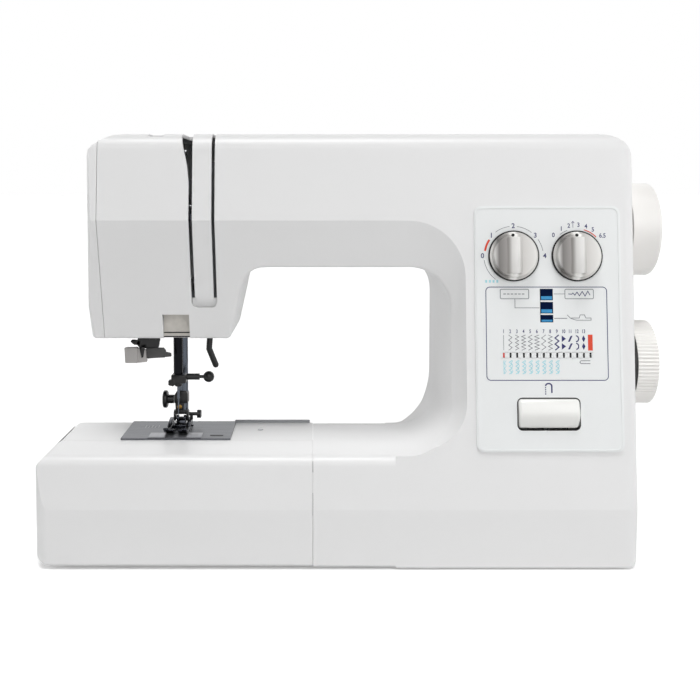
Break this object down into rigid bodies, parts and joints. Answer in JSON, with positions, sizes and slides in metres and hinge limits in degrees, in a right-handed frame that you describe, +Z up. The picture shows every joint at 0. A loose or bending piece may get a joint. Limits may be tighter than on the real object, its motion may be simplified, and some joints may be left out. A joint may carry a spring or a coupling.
{
  "type": "sewing machine",
  "caption": "Full-size free-arm sewing machine with a leaning front, raised control panel, handwheel, ribbed pattern dial, presser foot and slide-off extension table",
  "frame": {"origin": "on the standing surface, under the middle of the whole machine", "axes": "+X to the machine's right (handwheel side), +Y to its back, +Z up; the user faces the -Y side"},
  "size_m": [0.4158, 0.178, 0.28],
  "materials": {
    "white_shell": "glossy white moulded plastic, faint texture",
    "panel_white": "slightly cooler satin white printed panel",
    "lever_white": "glossy white plastic",
    "wheel_white": "warm white smooth plastic",
    "dial_silver": "satin silver turned face",
    "grey_plastic": "light grey matt plastic",
    "black_plastic": "black matt plastic",
    "black_rubber": "black moulded rubber",
    "belt_rubber": "black ribbed belt rubber",
    "plate_steel": "dark brushed steel",
    "bright_steel": "ground and polished steel",
    "dark_chrome": "dark mirror chrome",
    "black_metal": "gloss black painted metal",
    "cast_frame": "as-cast aluminium",
    "bronze": "sintered bronze",
    "motor_paint": "dark painted steel",
    "clear_plastic": "clear plastic",
    "lamp_glass": "frosted lamp glass",
    "window_blue": "deep blue window",
    "pointer_red": "red plastic"
  },
  "bodies": {
    "machine": {"front_cover": "white_shell", "rear_cover": "white_shell", "thread_guide_strip": "white_shell", "base_plate": "white_shell", "rubber_feet": "black_rubber", "free_arm_cover": "white_shell", "needle_plate": "plate_steel", "bed_screw": "bright_steel", "machine_frame": "cast_frame", "shaft_bushes": "bronze", "timing_belt": "belt_rubber", "motor_belt": "belt_rubber", "motor": "motor_paint", "shuttle_race": "bright_steel", "bobbin_case": "bright_steel", "tension_discs": "bright_steel", "lamp": "lamp_glass", "control_panel": "panel_white", "window_lens": "window_blue", "inlet_socket": "black_plastic", "handle_lugs": "white_shell"},
    "face_door": {"face_cover": "white_shell"},
    "upper_drive": {"upper_shaft": "bright_steel", "crank": "bright_steel", "shaft_pulleys": "black_plastic", "handwheel": "wheel_white"},
    "lower_drive": {"lower_shaft": "bright_steel"},
    "motor_rotor": {"motor_pulley": "bright_steel"},
    "hook": {"shuttle_hook": "bright_steel"},
    "bobbin_spool": {"bobbin": "clear_plastic"},
    "table": {"extension_table": "white_shell"},
    "shuttle_door": {"shuttle_cover": "white_shell"},
    "feed": {"feed_dog": "bright_steel"},
    "drop_feed": {"drop_feed_lever": "grey_plastic"},
    "swing_frame": {"needle_bar_frame": "cast_frame"},
    "needle_slide": {"needle_bar": "dark_chrome", "needle_bar_link": "bright_steel", "needle_clamp": "black_metal", "needle": "dark_chrome"},
    "clamp_screw": {"needle_clamp_screw": "black_metal"},
    "presser": {"presser_bar": "dark_chrome", "presser_bracket": "bright_steel", "foot_holder": "black_metal", "presser_spring": "bright_steel"},
    "foot_thumbscrew": {"foot_screw": "black_metal"},
    "foot_release": {"foot_release_lever": "black_metal"},
    "foot": {"presser_foot": "dark_chrome"},
    "lifter": {"lifter_lever": "black_metal"},
    "take_up": {"take_up_lever": "dark_chrome"},
    "threader": {"needle_threader": "grey_plastic"},
    "tension_wheel": {"tension_dial": "white_shell"},
    "length_knob": {"length_dial": "dial_silver"},
    "width_knob": {"width_dial": "dial_silver"},
    "pointer": {"chart_pointer": "pointer_red"},
    "reverse": {"reverse_lever": "lever_white"},
    "selector": {"pattern_dial": "wheel_white"},
    "switch": {"power_switch": "black_plastic"},
    "spool": {"spool_pin": "white_shell"},
    "winder": {"bobbin_winder": "black_plastic"},
    "handle": {"carry_handle": "grey_plastic"}
  },
  "joints": [
    {"name": "handwheel_turn", "type": "hinge", "parent": "machine", "child": "upper_drive", "pos_m": [0.1925, -0.019, 0.2155], "axis": [1, 0, 0], "continuous": true},
    {"name": "lower_shaft_turn", "type": "hinge", "parent": "machine", "child": "lower_drive", "pos_m": [0.0075, -0.009, 0.044], "axis": [1, 0, 0], "continuous": true},
    {"name": "motor_turn", "type": "hinge", "parent": "machine", "child": "motor_rotor", "pos_m": [0.1575, 0.042, 0.048], "axis": [1, 0, 0], "continuous": true},
    {"name": "hook_turn", "type": "hinge", "parent": "machine", "child": "hook", "pos_m": [-0.1205, -0.03, 0.044], "axis": [0, 1, 0], "continuous": true},
    {"name": "bobbin_spin", "type": "hinge", "parent": "machine", "child": "bobbin_spool", "pos_m": [-0.1205, -0.032, 0.044], "axis": [0, 1, 0], "continuous": true},
    {"name": "table_slide", "type": "slide", "parent": "machine", "child": "table", "axis": [-1, 0, 0], "range_m": [0, 0.19]},
    {"name": "shuttle_cover_open", "type": "hinge", "parent": "machine", "child": "shuttle_door", "pos_m": [-0.1205, -0.043, 0.0236], "axis": [1, 0, 0], "range_deg": [0, 60]},
    {"name": "face_cover_open", "type": "hinge", "parent": "machine", "child": "face_door", "pos_m": [-0.167, 0.0375, 0.21], "axis": [0, 0, -1], "range_deg": [0, 95]},
    {"name": "feed_travel", "type": "slide", "parent": "machine", "child": "feed", "axis": [0, 1, 0], "range_m": [-0.002, 0.002]},
    {"name": "drop_feed_shift", "type": "slide", "parent": "machine", "child": "drop_feed", "axis": [1, 0, 0], "range_m": [0, 0.009]},
    {"name": "needle_swing", "type": "hinge", "parent": "machine", "child": "swing_frame", "pos_m": [-0.1335, -0.003, 0.258], "axis": [0, 1, 0], "range_deg": [-1.2, 1.2]},
    {"name": "needle_bar_stroke", "type": "slide", "parent": "swing_frame", "child": "needle_slide", "axis": [0, 0, 1], "range_m": [-0.029, 0]},
    {"name": "clamp_screw_turn", "type": "hinge", "parent": "needle_slide", "child": "clamp_screw", "pos_m": [-0.1105, -0.019, 0.1115], "axis": [1, 0, 0], "continuous": true},
    {"name": "lifter_raise", "type": "hinge", "parent": "machine", "child": "lifter", "pos_m": [-0.1005, 0.006, 0.15], "axis": [1, 0, 0], "range_deg": [0, 50]},
    {"name": "presser_lift", "type": "slide", "parent": "machine", "child": "presser", "axis": [0, 0, 1], "range_m": [0, 0.006], "deforming": ["presser_spring"]},
    {"name": "foot_screw_turn", "type": "hinge", "parent": "presser", "child": "foot_thumbscrew", "pos_m": [-0.1305, -0.005, 0.0925], "axis": [1, 0, 0], "continuous": true},
    {"name": "foot_release_press", "type": "hinge", "parent": "presser", "child": "foot_release", "pos_m": [-0.1145, -0.007, 0.0822], "axis": [0, 1, 0], "range_deg": [-12, 0], "stiffness_Nm_per_rad": 0.02},
    {"name": "foot_tilt", "type": "hinge", "parent": "presser", "child": "foot", "pos_m": [-0.1202, -0.006, 0.079], "axis": [1, 0, 0], "range_deg": [-4, 0]},
    {"name": "take_up_swing", "type": "hinge", "parent": "machine", "child": "take_up", "pos_m": [-0.1055, -0.014, 0.246], "axis": [-1, 0, 0], "range_deg": [-8, 38]},
    {"name": "threader_pull", "type": "slide", "parent": "machine", "child": "threader", "axis": [0, 0, 1], "range_m": [-0.022, 0]},
    {"name": "tension_turn", "type": "hinge", "parent": "machine", "child": "tension_wheel", "pos_m": [-0.1295, -0.042, 0.268], "axis": [1, 0, 0], "range_deg": [-150, 150]},
    {"name": "length_dial_turn", "type": "hinge", "parent": "machine", "child": "length_knob", "pos_m": [0.1045, -0.07333, 0.20064], "axis": [0, -0.9919, 0.1271], "range_deg": [0, 250]},
    {"name": "width_dial_turn", "type": "hinge", "parent": "machine", "child": "width_knob", "pos_m": [0.1455, -0.07333, 0.20064], "axis": [0, -0.9919, 0.1271], "range_deg": [0, 250]},
    {"name": "pattern_dial_turn", "type": "hinge", "parent": "machine", "child": "selector", "pos_m": [0.1975, -0.019, 0.1225], "axis": [1, 0, 0], "range_deg": [0, 325]},
    {"name": "pattern_pointer_move", "type": "slide", "parent": "machine", "child": "pointer", "axis": [1, 0, 0], "range_m": [0, 0.0558]},
    {"name": "reverse_press", "type": "hinge", "parent": "machine", "child": "reverse", "pos_m": [0.1257, -0.07719, 0.10762], "axis": [1, 0, 0], "range_deg": [0, 8], "stiffness_Nm_per_rad": 0.5},
    {"name": "power_switch_rock", "type": "hinge", "parent": "machine", "child": "switch", "pos_m": [0.182, 0.029, 0.056], "axis": [0, 1, 0], "range_deg": [0, 10]},
    {"name": "spool_pin_pull", "type": "slide", "parent": "machine", "child": "spool", "axis": [0, 0, 1], "range_m": [0, 0.035]},
    {"name": "winder_spin", "type": "hinge", "parent": "machine", "child": "winder", "pos_m": [0.167, 0.024, 0.27], "axis": [0, 0, 1], "continuous": true},
    {"name": "handle_lift", "type": "hinge", "parent": "machine", "child": "handle", "pos_m": [-0.0225, 0.042, 0.262], "axis": [1, 0, 0], "range_deg": [0, 170]}
  ],
  "couplings": [
    {"joint": "lower_shaft_turn", "follows": "handwheel_turn", "ratio": 2},
    {"joint": "hook_turn", "follows": "handwheel_turn", "ratio": 2},
    {"joint": "motor_turn", "follows": "handwheel_turn", "ratio": 4},
    {"joint": "lifter_raise", "follows": "presser_lift", "rad_per_m": 145.3},
    {"joint": "pattern_pointer_move", "follows": "pattern_dial_turn", "m_per_rad": 0.0098323}
  ]
}
